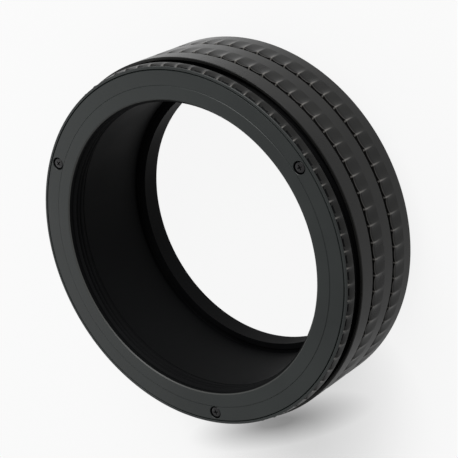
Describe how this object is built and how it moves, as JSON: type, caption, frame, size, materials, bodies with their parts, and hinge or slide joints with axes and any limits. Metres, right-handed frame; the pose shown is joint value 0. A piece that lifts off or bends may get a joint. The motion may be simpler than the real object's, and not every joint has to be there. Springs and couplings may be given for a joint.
{
  "type": "helical focuser",
  "caption": "Black metal helical focuser ring: a knurled barrel turns and drives a keyed, non-rotating front tube out along the optical axis, with a thread at each end.",
  "frame": {"origin": "centre of the rear end face, on the optical axis, where the focuser stands", "axes": "+Z along the optical axis from the rear male thread to the front female thread; +X is 30 degrees before the first face screw"},
  "size_m": [0.081, 0.081, 0.0289],
  "materials": {
    "black_anodised": "matte black anodised, fine blasted surface",
    "black_screws": "blackened steel, small cross recess",
    "brass_keys": "plain machined brass"
  },
  "bodies": {
    "base": {"rear_mount": "black_anodised", "base_ring": "black_anodised", "rear_screw_1": "black_screws", "rear_screw_2": "black_screws", "rear_screw_3": "black_screws", "guide_key_1": "brass_keys", "guide_key_2": "brass_keys", "guide_key_3": "brass_keys", "key_screw_1": "black_screws", "key_screw_2": "black_screws", "key_screw_3": "black_screws"},
    "barrel": {"focus_ring": "black_anodised", "retaining_ring": "black_anodised", "lock_screw_1": "black_screws", "lock_screw_2": "black_screws"},
    "front": {"front_tube": "black_anodised", "front_ring": "black_anodised", "face_screw_1": "black_screws", "face_screw_2": "black_screws", "face_screw_3": "black_screws"}
  },
  "joints": [
    {"name": "focus_turn", "type": "hinge", "parent": "base", "child": "barrel", "pos_m": [0, 0, 0.015], "axis": [0, 0, 1], "range_deg": [-255.6, 44.4]},
    {"name": "front_slide", "type": "slide", "parent": "base", "child": "front", "axis": [0, 0, 1], "range_m": [-0.00149, 0.00853]}
  ],
  "couplings": [
    {"joint": "front_slide", "follows": "focus_turn", "m_per_rad": -0.0019099}
  ]
}
